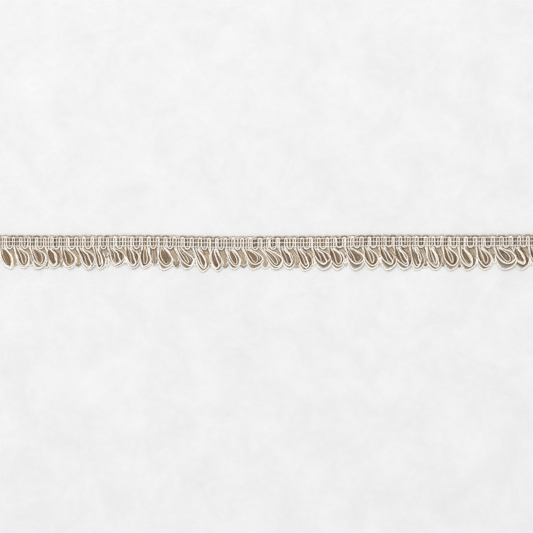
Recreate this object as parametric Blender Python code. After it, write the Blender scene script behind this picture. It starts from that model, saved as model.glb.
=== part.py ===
"""Looped fringe trim: a woven band with a skirt of long yarn loops, a cut length lying flat, face up.

The trim runs along X. The band is at +Y, the loops hang towards -Y, and the back lies on Z = 0. The origin
is at the bottom centre of the whole piece.
"""

import math
import random
from collections import namedtuple

import bmesh
import bpy

MM = 0.001

# Driving sizes, in millimetres
LENGTH = 445.0
HEADING_LINE = 9.6  # the band's middle warp, above the origin
GAP = 0.3
STRIP_WIDTH = 0.7
STRIP_THICKNESS = 1.1
ROOT_DEPTH = 1.8  # how far below the band's edge the yarns of a loop leave their common root
LONG_HALF = 2.04  # half the distance between the two white legs of a long loop
SHORT_HALF = 2.44  # half the distance between the two white legs of a short turn
FOOT = 0.85  # from the crest of a white leg to the hollow beside it
RELIEF_UNEVENNESS = 0.07  # how much the band's relief varies up and down

# How far the trim strays sideways from a straight line, at places along it
Stray = namedtuple("Stray", "along sideways")
SWAY = [
    Stray(-223.0, 0.3),
    Stray(-165.0, -0.1),
    Stray(-99.0, 0.3),
    Stray(-33.0, -0.8),
    Stray(32.0, -0.5),
    Stray(98.0, 0.5),
    Stray(163.0, 0.3),
    Stray(223.0, 0.8),
]

# One row for each long loop, left to right. pitch is the distance to the next loop's root. left, tip, right
# and shoulder say how far to the right of its root the white yarn lies at the middle of its left side, at
# its lowest point, at the middle of its right side and above that. drop is its depth below the root. cross
# says how far the white yarn has rolled inwards on the right side, as a share of the loop's half width.
Loop = namedtuple("Loop", "pitch left tip drop right shoulder cross")
LOOPS = [
    Loop(11.8, -0.8, 7.2, 17.4, 8.4, 6.4, 0.0),
    Loop(12.8, 0.0, 6.4, 16.2, 9.6, 8.0, 0.0),
    Loop(12.4, -0.5, 7.0, 14.6, 10.4, 9.2, 0.0),
    Loop(12.4, -0.8, 4.8, 15.8, 9.6, 8.8, 0.0),
    Loop(12.9, -1.6, 3.6, 15.8, 9.6, 7.2, 0.45),
    Loop(12.8, 0.6, 6.4, 17.4, 11.6, 9.6, 0.45),
    Loop(11.9, -0.2, 3.0, 17.4, 8.0, 5.6, 0.45),
    Loop(13.8, -1.3, 4.8, 14.2, 10.8, 9.6, 0.0),
    Loop(13.4, -1.4, 4.6, 16.2, 8.6, 7.2, 0.45),
    Loop(13.2, -4.0, -1.0, 16.2, 4.6, 3.2, 0.0),
    Loop(13.7, -2.8, 2.2, 17.4, 9.0, 6.4, 0.45),
    Loop(13.8, 0.8, 7.8, 17.4, 14.4, 9.6, 0.0),
    Loop(13.7, 0.8, 6.6, 19.0, 10.0, 7.3, 0.0),
    Loop(13.0, -2.2, 3.2, 19.0, 7.2, 4.6, 0.0),
    Loop(13.4, -0.8, 3.2, 16.2, 8.6, 6.4, 0.0),
    Loop(14.6, 0.8, 7.6, 17.0, 13.4, 10.0, 0.0),
    Loop(14.2, 2.8, 10.6, 16.6, 14.4, 10.2, 0.0),
    Loop(12.8, 0.0, 5.6, 16.6, 9.8, 8.0, 0.45),
    Loop(13.6, 0.8, 5.6, 18.4, 10.8, 8.8, 0.45),
    Loop(12.8, 0.0, 7.0, 17.4, 12.0, 9.6, 0.45),
    Loop(13.6, -0.8, 4.8, 17.0, 10.4, 8.6, 0.0),
    Loop(14.0, 0.0, 6.8, 17.8, 12.6, 9.2, 0.0),
    Loop(12.8, -0.8, 5.2, 17.8, 10.4, 8.4, 0.45),
    Loop(12.0, -0.4, 5.2, 17.8, 10.6, 8.4, 0.45),
    Loop(12.8, -0.8, 5.8, 17.8, 11.2, 8.8, 0.45),
    Loop(13.6, -0.8, 2.8, 18.2, 8.4, 7.2, 0.0),
    Loop(12.8, -2.0, 4.8, 18.2, 9.0, 7.2, 0.45),
    Loop(12.8, -1.6, 5.0, 18.2, 10.0, 8.0, 0.45),
    Loop(14.0, -1.2, 4.6, 18.2, 10.6, 8.0, 0.45),
    Loop(14.4, -1.2, 4.8, 17.8, 10.2, 8.0, 0.0),
    Loop(14.4, -0.4, 8.0, 17.6, 14.4, 12.0, 0.0),
    Loop(13.2, -1.6, 4.2, 18.2, 10.4, 8.0, 0.0),
    Loop(13.2, -0.8, 4.8, 17.6, 9.8, 8.0, 0.45),
]

# Levels across the band, measured from its middle warp, and the thickness of the band there, for each kind
# of upright line: a leg of white yarn, the foot beside it, the middle of a turn, the arch between two legs,
# and an end
Level = namedtuple("Level", "across leg foot middle arch end")
LEVELS = [
    Level(3.2, 2.20, 1.60, 1.75, 2.10, 1.5),
    Level(1.6, 2.30, 1.20, 1.45, 1.35, 1.3),
    Level(0.0, 2.40, 1.75, 1.95, 1.85, 1.7),
    Level(-1.7, 2.30, 1.20, 1.45, 1.35, 1.3),
]
EDGE_THICKNESS = 0.9
FOLD_THICKNESS = 2.1  # the crest of the white yarn where it turns

# The band's scalloped outline, measured from its middle warp: its upper edge, its lowest crest and its
# lower edge
Outline = namedtuple("Outline", "top fold low")
OUTLINE = {
    "arch": Outline(5.0, -3.4, -4.6),
    "long_leg": Outline(4.8, -3.5, -4.6),
    "long_foot": Outline(4.35, -3.5, -4.6),
    "long_middle": Outline(4.0, -3.5, -4.6),
    "short_leg": Outline(4.8, -3.9, -5.37),
    "short_foot": Outline(4.35, -4.9, -6.0),
    "short_middle": Outline(4.0, -5.1, -6.0),
    "end": Outline(4.4, -3.5, -4.6),
}

# The guide points of a loop, from its left root round to its right one. Each lies between two of the places
# that the loop's row names, at a share of the way from start to goal, and as deep as a share of the drop.
# risen says how far the loop's right side has come up there, rolled how far a rolled side has turned over,
# and raised how far the white yarn is lifted for that.
Guide = namedtuple("Guide", "start goal share depth risen rolled raised")
GUIDES = [
    Guide("left_leg", "left", 0.0, 0.0, 0.0, 0.0, 0.0),
    Guide("left_leg", "left", 0.5, 0.28, 0.0, 0.0, 0.0),
    Guide("left_leg", "left", 1.0, 0.54, 0.0, 0.0, 0.0),
    Guide("left", "tip", 0.45, 0.86, 0.2, 0.0, 0.2),
    Guide("left", "tip", 1.0, 1.0, 0.7, 0.1, 0.9),
    Guide("right", "tip", 0.34, 0.88, 1.0, 0.7, 1.0),
    Guide("right", "tip", 0.0, 0.62, 1.0, 1.0, 1.0),
    Guide("right_leg", "shoulder", 1.0, 0.32, 1.0, 0.8, 1.1),
    Guide("right_leg", "shoulder", 0.3, 0.21, 0.6, 0.0, 1.0),
    Guide("right_leg", "shoulder", 0.0, 0.0, 0.0, 0.0, 0.0),
]
LAP_LIFT = 1.45  # how far a loop's right side rises to lie on the next loop
FREE_LIFT = 0.5

# Every loop has a heart, which its inner yarns close in on: a small copy of the outline, half way down it,
# whose points beside the two legs keep clear of them
HEART_SHARE = 0.22
HEART_DEPTH = 0.55
Offset = namedtuple("Offset", "right below")
HEART_BESIDE_LEG = {1: Offset(2.5, 0.3), 8: Offset(-1.7, 2.0)}

# The yarns of a loop that the solids hold, from the outside in. ring is 1 for the loop's own outline and 0
# for its heart, and rolled_ring is the same in a rolled side, where the white yarn's comes from the loop.
# rise is how far a yarn is raised there. slot_from and slot_to bound its root, and stops are the places of
# its cross-sections, counted in guide points.
Yarn = namedtuple("Yarn", "name ring rolled_ring rise half_width half_height slot_from slot_to stops")
YARNS = [
    Yarn("white", 1.0, None, 1.1, 0.66, 0.62, 1.68, 2.44, (1, 2, 3, 3.6, 4.2, 4.9, 5.6, 6.3, 7, 8)),
    Yarn("cream", 0.58, 1.0, 0.0, 0.43, 0.40, 0.96, 1.40, (1, 2, 3, 4, 4.8, 5.6, 6.4, 7, 8)),
]
TOP_SHARE = 0.72  # a yarn's width on top, as a share of its width below
ROOT_PINCH = 0.6  # a yarn's width by its root, as a share of its full width
PINCH_FROM = 0.8  # where the yarn starts to widen, in guide points from its root
PINCH_TO = 2.2
TANGENT_STEP = 0.1

# The lock of tan yarns that fills a loop's heart, between the two sides of one ring
TONGUE_RING = 0.30
TONGUE_ROOT_HALF = 0.68
TONGUE_THICKNESS = 0.9
TONGUE_SIDES = ((1, 8), (2, 7), (3, 6), (4, 5))  # the guide points on its left and right

# The lock of tan yarns that fills the gap between two loops, step by step down the gap
FILLER_THICKNESS = 0.7
FILLER_LEAST_WIDTH = 0.8
Room = namedtuple("Room", "left right")
FILLER_ROOM = Room(1.5, 1.15)  # from the middle of the white yarns on both sides
FillerStep = namedtuple("FillerStep", "below widest")
FILLER_STEPS = [FillerStep(5.6, 3.2), FillerStep(8.2, 2.6), FillerStep(10.6, 1.8), FillerStep(12.6, 1.0)]


def smooth_step(low, high, value):
    """0 below low, 1 above high, and an even S between them."""
    share = min(max((value - low) / (high - low), 0.0), 1.0)
    return share * share * (3.0 - 2.0 * share)


def mix(first, second, share):
    """The value at a share of the way from the first to the second."""
    return first + (second - first) * share


def sideways(along):
    """The trim's stray at a place along it."""
    for here, after in zip(SWAY, SWAY[1:]):
        if along <= after.along:
            break
    return mix(here.sideways, after.sideways, smooth_step(here.along, after.along, along))


def root_centres():
    """Where each loop's root is along the trim, with the row centred on the origin."""
    places = [0.0]
    for loop in LOOPS[:-1]:
        places.append(places[-1] + loop.pitch)
    middle = (places[0] + places[-1]) / 2
    return [place - middle for place in places]


def upright_lines():
    """The kind and place of every upright line of the band, from one cut end to the other."""
    roots = root_centres()
    shorts = [roots[0] - LOOPS[0].pitch / 2]
    shorts += [root + loop.pitch / 2 for root, loop in zip(roots, LOOPS)]
    turns = [("short", short, SHORT_HALF) for short in shorts]
    turns += [("long", root, LONG_HALF) for root in roots]
    turns.sort(key=lambda turn: turn[1])
    lines = [("end", -LENGTH / 2)]
    reach = None
    for name, middle, half in turns:
        if reach is not None:
            lines.append(("arch", (reach + middle - half) / 2))
        lines.append((name + "_leg", middle - half))
        lines.append((name + "_foot", middle - half + FOOT))
        lines.append((name + "_middle", middle))
        lines.append((name + "_foot", middle + half - FOOT))
        lines.append((name + "_leg", middle + half))
        reach = middle + half
    lines.append(("end", LENGTH / 2))
    return lines


def vertex(mesh, along, across, height):
    """A vertex at a place along and across the trim, in millimetres, with the trim's stray added."""
    place = (along * MM, (HEADING_LINE + across + sideways(along)) * MM, height * MM)
    return mesh.verts.new(place)


def thickness(level, kind):
    """The band's thickness where a level crosses an upright line."""
    return getattr(level, kind.split("_")[-1])


def finish(mesh, name, colour, roughness):
    """Makes the object of a closed mesh, with faces out and its own material."""
    bmesh.ops.recalc_face_normals(mesh, faces=mesh.faces)
    data = bpy.data.meshes.new(name)
    mesh.to_mesh(data)
    mesh.free()
    material = bpy.data.materials.new(name)
    material.use_nodes = True
    shader = material.node_tree.nodes["Principled BSDF"]
    shader.inputs["Base Color"].default_value = (*colour, 1.0)
    shader.inputs["Roughness"].default_value = roughness
    shader.inputs["Metallic"].default_value = 0.0
    data.materials.append(material)
    result = bpy.data.objects.new(name, data)
    bpy.context.scene.collection.objects.link(result)
    return result


def build_heading():
    """The woven band: a flat back, ribs where the yarns run across it, and two scalloped edges."""
    unevenness = random.Random(11)
    mesh = bmesh.new()
    columns = []
    for kind, along in upright_lines():
        outline = OUTLINE[kind]
        folded = kind.startswith("short") or kind.endswith("leg")
        points = [(outline.top, EDGE_THICKNESS)]
        points += [(level.across, thickness(level, kind)) for level in LEVELS]
        points.append((outline.fold, FOLD_THICKNESS if folded else thickness(LEVELS[0], kind)))
        points.append((outline.low, EDGE_THICKNESS))
        front = []
        for across, height in points:
            uneven = unevenness.uniform(-RELIEF_UNEVENNESS, RELIEF_UNEVENNESS)
            front.append(vertex(mesh, along, across, height + uneven))
        back = [vertex(mesh, along, outline.low, 0.0), vertex(mesh, along, outline.top, 0.0)]
        columns.append(front + back)
    for left, right in zip(columns, columns[1:]):
        for number in range(len(left)):
            after = (number + 1) % len(left)
            mesh.faces.new((left[number], left[after], right[after], right[number]))
    mesh.faces.new(columns[0])
    mesh.faces.new(reversed(columns[-1]))
    return finish(mesh, "heading", (0.50, 0.42, 0.33), 0.85)


def along_curve(points, stop):
    """The place on the smooth curve through the points, at a stop counted in points."""
    index = min(int(stop), len(points) - 2)
    t = stop - index
    before = points[max(index - 1, 0)]
    here, after = points[index], points[index + 1]
    beyond = points[min(index + 2, len(points) - 1)]
    return tuple(
        0.5 * (2 * b + (c - a) * t + (2 * a - 5 * b + 4 * c - d) * t ** 2 + (3 * b - a - 3 * c + d) * t ** 3)
        for a, b, c, d in zip(before, here, after, beyond)
    )


def loop_guides(loop):
    """A loop's outline and its heart, point for point, as distances right of and below its root."""
    places = {"left_leg": -LONG_HALF, "right_leg": LONG_HALF, **loop._asdict()}
    outline = []
    for guide in GUIDES:
        right = mix(places[guide.start], places[guide.goal], guide.share)
        outline.append((right, max(guide.depth * loop.drop, ROOT_DEPTH)))
    middle = ((loop.left + loop.right) / 2, HEART_DEPTH * loop.drop)
    heart = [tuple(mix(h, o, HEART_SHARE) for h, o in zip(middle, point)) for point in outline]
    for number, offset in HEART_BESIDE_LEG.items():
        heart[number] = (outline[number][0] + offset.right, outline[number][1] + offset.below)
    return outline, heart


def yarn_guides(yarn, loop, lift):
    """The points that a yarn's middle runs through: right of its loop's root, below it, and above Z = 0."""
    slot = (yarn.slot_from + yarn.slot_to) / 2
    rolled_ring = 1.0 - loop.cross if yarn.rolled_ring is None else yarn.rolled_ring
    guides = []
    for outer, inner, guide in zip(*loop_guides(loop), GUIDES):
        ring = yarn.ring
        height = yarn.half_height + lift * guide.risen
        if loop.cross:
            ring = mix(yarn.ring, rolled_ring, guide.rolled)
            height += yarn.rise * guide.raised
        right, below = (mix(i, o, ring) for i, o in zip(inner, outer))
        guides.append((right, below, height))
    guides[0] = (-slot, ROOT_DEPTH, STRIP_THICKNESS / 2)
    guides[-1] = (slot, ROOT_DEPTH, STRIP_THICKNESS / 2)
    return guides


def cross_section(mesh, root, guides, stop, yarn):
    """Four vertices around a yarn's middle: flat below, and a little narrower on top."""
    right, below, height = along_curve(guides, stop)
    before = along_curve(guides, stop - TANGENT_STEP)
    after = along_curve(guides, stop + TANGENT_STEP)
    run_right, run_down = after[0] - before[0], after[1] - before[1]
    length = math.hypot(run_right, run_down)
    side_right, side_down = run_down / length, -run_right / length
    from_root = min(stop, len(guides) - 1 - stop)
    half_width = yarn.half_width * mix(ROOT_PINCH, 1.0, smooth_step(PINCH_FROM, PINCH_TO, from_root))
    section = []
    for side, share, level in ((-1, 1, -1), (1, 1, -1), (1, TOP_SHARE, 1), (-1, TOP_SHARE, 1)):
        reach = side * share * half_width
        along = root + right + side_right * reach
        across = OUTLINE["long_leg"].low - below - side_down * reach
        section.append(vertex(mesh, along, across, height + level * yarn.half_height))
    return section


def join_sections(mesh, sections):
    """Four faces between each section of four vertices and the next."""
    for here, after in zip(sections, sections[1:]):
        for corner in range(4):
            following = (corner + 1) % 4
            mesh.faces.new((here[corner], here[following], after[following], after[corner]))


def build_yarn(mesh, root, slots, loop, yarn, lift):
    """One yarn of a loop, from its slot in the strip, around the loop and into the slot on the other side."""
    guides = yarn_guides(yarn, loop, lift)
    sections = [slots[yarn.name, -1]]
    sections += [cross_section(mesh, root, guides, stop, yarn) for stop in yarn.stops]
    sections.append(slots[yarn.name, 1])
    join_sections(mesh, sections)


def build_tongue(mesh, root, slot, loop, lift):
    """The lock in a loop's heart, from its slot in the strip down to a blunt end."""
    outline, heart = loop_guides(loop)
    sections = [slot]
    for sides in TONGUE_SIDES:
        corners = []
        for number in sides:
            right, below = (mix(i, o, TONGUE_RING) for i, o in zip(heart[number], outline[number]))
            foot = lift * GUIDES[number].risen
            across = OUTLINE["long_leg"].low - below
            corners.append([vertex(mesh, root + right, across, foot + up) for up in (0.0, TONGUE_THICKNESS)])
        left, right = corners
        sections.append([left[0], right[0], right[1], left[1]])
    join_sections(mesh, sections)
    mesh.faces.new(sections[-1])


def place_at_depth(side, below):
    """How far right one side of a loop lies at a depth, between its guide points."""
    for here, after in zip(side, side[1:]):
        if below <= after[1]:
            break
    return mix(here[0], after[0], (below - here[1]) / (after[1] - here[1]))


def build_filler(mesh, root, slot, loop, following):
    """The lock in the gap on a loop's right, from its slot in the strip down to where the gap closes."""
    right_side = list(reversed(loop_guides(loop)[0][5:]))
    left_side = loop_guides(following)[0][:4]
    sections = [slot]
    for step in FILLER_STEPS:
        low = place_at_depth(right_side, step.below) + FILLER_ROOM.left
        high = place_at_depth(left_side, step.below) + loop.pitch - FILLER_ROOM.right
        if high - low < FILLER_LEAST_WIDTH:
            break
        low = max(low, high - step.widest)
        across = OUTLINE["long_leg"].low - step.below
        places = ((low, 0.0), (high, 0.0), (high, FILLER_THICKNESS), (low, FILLER_THICKNESS))
        sections.append([vertex(mesh, root + right, across, up) for right, up in places])
    join_sections(mesh, sections)
    mesh.faces.new(sections[-1])


def post(mesh, along, across):
    """Two vertices of the strip, at its foot and at its top."""
    return vertex(mesh, along, across, 0.0), vertex(mesh, along, across, STRIP_THICKNESS)


def wall(mesh, first, second):
    """The upright face between two posts."""
    mesh.faces.new((first[0], second[0], second[1], first[1]))


def end_wall(mesh, pair):
    """The wall across the strip's cut end."""
    wall(mesh, *pair)


def slot_between(first, second):
    """The four vertices of an open slot between two posts, in the order of a section that starts there."""
    return [first[0], second[0], second[1], first[1]]


def build_root(mesh, left, right, root):
    """The strip at one loop's root, between two pairs of posts, with an open slot for each yarn's end."""
    front = OUTLINE["long_leg"].low - ROOT_DEPTH
    openings = [("tongue", 0, -TONGUE_ROOT_HALF, TONGUE_ROOT_HALF)]
    for yarn in reversed(YARNS):
        openings.insert(0, (yarn.name, -1, -yarn.slot_to, -yarn.slot_from))
        openings.append((yarn.name, 1, yarn.slot_from, yarn.slot_to))
    slots = {}
    row = [left[1]]
    for name, side, near, far in openings:
        first = post(mesh, root + near, front)
        second = post(mesh, root + far, front)
        slots[name, side] = slot_between(first, second) if side < 1 else slot_between(second, first)
        wall(mesh, row[-1], first)
        row += [first, second]
    wall(mesh, row[-1], right[1])
    row.append(right[1])
    wall(mesh, left[0], right[0])
    for level in (0, 1):
        mesh.faces.new([left[0][level]] + [here[level] for here in row] + [right[0][level]])
    return slots


def lift_of(loop, following):
    """How far a loop's right side rises: over the next loop where it laps it, otherwise a little."""
    if following is None:
        return FREE_LIFT
    widest = YARNS[0].half_width
    laps = loop.right + widest > loop.pitch + following.left - widest - GAP
    near_root = loop.shoulder > loop.pitch - LONG_HALF - 2 * widest
    return LAP_LIFT if laps or near_root else FREE_LIFT


def build_loop(mesh, left, right, root, loop, following):
    """One long loop: its root between two pairs of the strip's posts, its yarns and the lock in its heart."""
    slots = build_root(mesh, left, right, root)
    lift = lift_of(loop, following)
    for yarn in YARNS:
        build_yarn(mesh, root, slots, loop, yarn, lift)
    build_tongue(mesh, root, slots["tongue", 0], loop, lift)


def build_loop_skirt():
    """The long loops in a row, fused at their roots into a narrow strip along the band's lower edge."""
    mesh = bmesh.new()
    loops = iter(zip(root_centres(), LOOPS, LOOPS[1:] + [None]))
    root = loop = following = before = kind_before = None
    for kind, along in upright_lines():
        if kind.startswith("long") or kind == "short_leg":
            continue
        across = OUTLINE[kind].low - GAP
        here = post(mesh, along, across), post(mesh, along, across - STRIP_WIDTH)
        if before is None:
            end_wall(mesh, here)
        elif kind == kind_before == "arch":
            root, loop, following = next(loops)
            build_loop(mesh, before, here, root, loop, following)
        else:
            for level in (0, 1):
                mesh.faces.new((before[0][level], before[1][level], here[1][level], here[0][level]))
            wall(mesh, before[0], here[0])
            if kind_before == "short_middle" and following:
                build_filler(mesh, root, slot_between(before[1], here[1]), loop, following)
            else:
                wall(mesh, before[1], here[1])
        before, kind_before = here, kind
    end_wall(mesh, before)
    return finish(mesh, "loop_skirt", (0.47, 0.38, 0.28), 0.85)


def main():
    for old in list(bpy.data.objects):
        bpy.data.objects.remove(old, do_unlink=True)
    build_heading()
    build_loop_skirt()


main()
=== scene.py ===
# %% [markdown]
# # A looped fringe trim
# The object is a cut length of looped fringe: a narrow woven band, the heading, with a skirt of long
# loops. A real one is made on a narrow loom from very few parts. A bundle of parallel yarns runs from
# side to side as the weft, and three pairs of fine warp threads hold it. A loop could be modelled once
# and copied, but in the real trim no two loops are alike, and every yarn passes through all of them. So
# the scene is built as the trim is: each yarn is one long curve, from one cut end to the other.

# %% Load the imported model
import math
from collections import namedtuple

import bpy
import numpy as np
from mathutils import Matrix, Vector


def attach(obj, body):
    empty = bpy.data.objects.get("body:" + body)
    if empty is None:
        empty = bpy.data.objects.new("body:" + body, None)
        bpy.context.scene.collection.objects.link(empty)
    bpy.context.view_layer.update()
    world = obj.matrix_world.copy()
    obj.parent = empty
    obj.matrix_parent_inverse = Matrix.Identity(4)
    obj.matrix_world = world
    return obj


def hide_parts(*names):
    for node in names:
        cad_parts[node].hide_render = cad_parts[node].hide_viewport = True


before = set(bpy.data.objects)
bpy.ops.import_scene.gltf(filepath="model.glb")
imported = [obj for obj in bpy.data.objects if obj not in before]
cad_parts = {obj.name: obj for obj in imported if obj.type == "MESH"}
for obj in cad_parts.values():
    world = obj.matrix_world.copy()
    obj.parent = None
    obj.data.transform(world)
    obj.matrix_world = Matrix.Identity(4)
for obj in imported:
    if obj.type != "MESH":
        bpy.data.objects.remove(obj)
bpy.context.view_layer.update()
MM = 0.001


# %% [markdown]
# ## The camera and the photo's frame
# The trim lies on a table and is seen from straight above. A camera close by would show its ends at a
# slant, so a long lens far up keeps the view nearly parallel, as it is in the photo. The frame is 426 mm
# wide, and both cut ends lie just outside it. The camera comes first, because everything else is judged
# through it.

# %% Camera
HEADING_LINE = 9.6  # the band's middle warp, above the origin, in millimetres
VIEW_WIDTH = 426.4
VIEW_CENTRE = (-0.35, HEADING_LINE - 20.1)
CAMERA_HEIGHT = 2.4  # in metres
SENSOR = 36.0

camera_place = (VIEW_CENTRE[0] * MM, VIEW_CENTRE[1] * MM, CAMERA_HEIGHT)
bpy.ops.object.camera_add(location=camera_place, rotation=(0, 0, 0))
camera = bpy.context.active_object
camera.name = "camera"
camera.data.sensor_width = SENSOR
camera.data.lens = SENSOR * CAMERA_HEIGHT / (VIEW_WIDTH * MM)
bpy.context.scene.camera = camera
print("lens:", round(camera.data.lens, 1), "mm")

# %% [markdown]
# ## The sizes of the trim
# All sizes are in millimetres, and the table's shapes are those of the solid model, so that every loop
# lies where its solid does. A row is one long loop, from left to right, and `pitch` is the distance to
# the next loop's root. Places are measured to the right of the loop's own root: `left` is where its left
# side lies half way down, `right` where its right side bulges most, and `shoulder` where the right side
# is a third of the way down. At the bottom the bundle fans out: the outermost cord lies lowest, `drop`
# below the band at `tip`, and the white ring inside it turns at `ring_tip` and `ring_drop`.
#
# `fan` is the order in which the yarns show across the loop, a letter each, from its left edge to its
# middle line and from there to its right edge: w is the white cord, c the cream and p the pale one, and
# b, t and s are brown, tan and sand yarns. Where w isn't the last letter, the bundle has rolled over on
# the right side, and the white cord runs inside the others there. `gap` is the colour of the yarns that
# show most in the gap on the loop's right.

# %% The table of loops
LENGTH = 445.0
LONG_HALF = 2.04  # half the distance between the two white legs of a long loop
SHORT_HALF = 2.44  # half the distance between the two white legs of a short turn
ROOT_DEPTH = 0.5  # where a loop's yarns start to spread, below the band's edge
BAND_EDGE = -4.6  # the band's lower edge, from its middle warp

Loop = namedtuple("Loop", "pitch left tip drop right shoulder ring_tip ring_drop fan gap")
LOOPS = [
    Loop(11.8, -0.8, 7.2, 17.4, 8.4, 6.4, 6.8, 16.6, "wbtst tbtcw", "tan"),
    Loop(12.8, 0.0, 5.4, 16.8, 9.6, 8.0, 5.6, 15.4, "wbtbc tstbw", "tan"),
    Loop(12.4, -0.5, 3.2, 17.0, 10.4, 9.2, 6.3, 14.6, "wbcbt tstbw", "tan"),
    Loop(12.4, -0.8, 3.0, 16.6, 9.6, 8.8, 3.8, 15.0, "wcbbt wbtbt", "tan"),
    Loop(12.9, -1.6, 4.2, 17.0, 9.6, 7.2, 2.8, 15.6, "wtbcb tsbtw", "tan"),
    Loop(12.8, 0.6, 6.0, 17.6, 11.6, 9.6, 7.6, 16.2, "wbbts wtbtc", "pale"),
    Loop(11.9, -0.2, 2.8, 17.8, 7.0, 5.2, 2.4, 16.8, "wbbtc bwbtt", "pale"),
    Loop(13.8, -1.3, 4.4, 15.4, 10.8, 9.6, 4.0, 14.1, "bwtbp wtbtc", "pale"),
    Loop(13.4, -1.4, 3.4, 16.8, 8.6, 7.2, 3.8, 15.3, "wbtbs wbtbc", "pale"),
    Loop(13.2, -4.0, -0.8, 17.0, 4.6, 3.2, -1.4, 15.8, "wbbts tcbtw", "tan"),
    Loop(13.7, -2.8, 0.8, 18.0, 9.0, 6.4, 3.8, 15.2, "wbcbt bbtsw", "tan"),
    Loop(13.8, 0.8, 6.0, 17.2, 11.8, 7.4, 9.2, 14.5, "wtbcb tbpbw", "pale"),
    Loop(13.7, 0.8, 5.2, 18.8, 10.0, 7.3, 6.6, 16.6, "wbbct bwtst", "tan"),
    Loop(13.0, -2.2, 3.9, 18.4, 7.2, 4.6, 2.6, 16.4, "wctbs wbtbc", "tan"),
    Loop(13.4, -0.8, 3.0, 17.0, 8.6, 6.4, 5.4, 14.6, "wbcbt bcbtw", "tan"),
    Loop(14.6, 0.8, 4.9, 16.9, 13.4, 10.0, 7.2, 13.1, "wbtbt tcbpbw", "tan"),
    Loop(14.2, 2.8, 9.0, 17.0, 14.4, 10.2, 10.2, 15.0, "wbcbs cbpbtw", "pale"),
    Loop(12.8, 0.0, 5.2, 16.8, 9.8, 8.0, 6.0, 14.4, "wbbtt bwbct", "tan"),
    Loop(13.6, 0.8, 4.6, 18.2, 10.8, 8.8, 6.4, 16.0, "wbbts wbtbs", "pale"),
    Loop(12.8, 0.0, 6.6, 17.9, 12.4, 9.6, 7.0, 13.1, "wbbst wtbtc", "pale"),
    Loop(13.6, -0.8, 4.8, 17.9, 10.6, 8.6, 5.6, 15.2, "wtbbc tscbw", "pale"),
    Loop(14.0, 0.0, 5.4, 17.9, 12.6, 9.2, 7.4, 13.6, "wbpbc tttbw", "pale"),
    Loop(12.8, -0.8, 4.6, 17.8, 10.2, 8.0, 5.8, 15.2, "wbbtc tcbtw", "pale"),
    Loop(12.0, -0.4, 4.4, 18.4, 11.2, 8.4, 7.4, 14.3, "wbbtc wtbtt", "pale"),
    Loop(12.8, -0.8, 5.8, 18.2, 11.4, 8.8, 8.2, 15.4, "wtbbs wtstb", "pale"),
    Loop(13.6, -0.8, 2.8, 18.6, 8.6, 7.2, 3.6, 16.6, "wbtbs wbcbt", "tan"),
    Loop(12.8, -2.0, 3.8, 18.4, 9.2, 7.2, 5.8, 16.2, "wbpbs cwpbt", "tan"),
    Loop(12.8, -1.6, 3.6, 18.6, 10.2, 8.0, 5.6, 15.4, "wpbbc cbbtw", "tan"),
    Loop(14.0, -1.2, 3.6, 18.5, 11.0, 8.0, 6.4, 15.6, "wbcbt pwcbt", "pale"),
    Loop(14.4, -1.2, 3.6, 18.2, 10.2, 8.0, 5.4, 15.8, "wbbtp bcbsw", "pale"),
    Loop(14.4, -0.4, 5.2, 18.5, 15.0, 11.6, 9.0, 13.8, "wpbcbt bcbptw", "pale"),
    Loop(13.2, -1.6, 5.0, 18.4, 10.6, 8.0, 6.6, 14.2, "wcbbs wctbb", "pale"),
    Loop(13.2, -0.8, 5.0, 18.0, 9.8, 8.0, 6.4, 14.6, "wbbts wcbts", "pale"),
]
print(len(LOOPS), "long loops, mean drop", round(sum(loop.drop for loop in LOOPS) / len(LOOPS), 1), "mm")

# %% [markdown]
# A loop is drawn through ten guide points, from its left root round to its right one. Each lies between
# two named places of its row, at a share of the way, and as deep as a share of the drop. `turned` goes
# from 0 on the left side over 1 at the bottom to 2 on the right. `spine` is how deep the point's partner
# lies on the loop's middle line, which the innermost yarn follows down and up again. The last two
# columns say how far the right side has come up off the table, and how far the cords rise further in a
# loop that has rolled over.

# %% The guide points of a loop
Guide = namedtuple("Guide", "start goal share depth turned spine risen raised")
GUIDES = [
    Guide("left_leg", "left", 0.0, 0.0, 0.0, 0.0, 0.0, 0.0),
    Guide("left_leg", "left", 0.5, 0.28, 0.0, 0.30, 0.0, 0.0),
    Guide("left_leg", "left", 1.0, 0.52, 0.1, 0.62, 0.0, 0.0),
    Guide("left", "tip", 0.45, 0.85, 0.7, 0.94, 0.2, 0.2),
    Guide("left", "tip", 1.0, 1.0, 1.0, 1.0, 0.7, 0.9),
    Guide("right", "tip", 0.34, 0.89, 1.4, 0.96, 1.0, 1.0),
    Guide("right", "tip", 0.0, 0.62, 2.0, 0.70, 1.0, 1.0),
    Guide("right_leg", "shoulder", 1.0, 0.35, 2.0, 0.44, 1.0, 1.1),
    Guide("right_leg", "shoulder", 0.45, 0.18, 2.0, 0.24, 0.6, 1.0),
    Guide("right_leg", "shoulder", 0.0, 0.0, 2.0, 0.0, 0.0, 0.0),
]
LEFT_HALF, RIGHT_HALF = slice(5), slice(None, 4, -1)  # the points of either half, from the root down
LEFT_SIDE, RIGHT_SIDE = slice(3), slice(None, 5, -1)  # the same without those at the bottom
print(len(GUIDES), "guide points a loop,", len(GUIDES[LEFT_HALF]), "of them on the left")

# %% [markdown]
# Small helpers come before the things that need them: a straight mix, an eased step, and the trim's stray
# from a straight line, since nobody lays such a light thing down quite straight.

# %% Helpers for places
Stray = namedtuple("Stray", "along sideways")
SWAY = [
    Stray(-223.0, 0.3),
    Stray(-165.0, -0.1),
    Stray(-99.0, 0.3),
    Stray(-33.0, -0.8),
    Stray(32.0, -0.5),
    Stray(98.0, 0.5),
    Stray(163.0, 0.3),
    Stray(223.0, 0.8),
]


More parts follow.
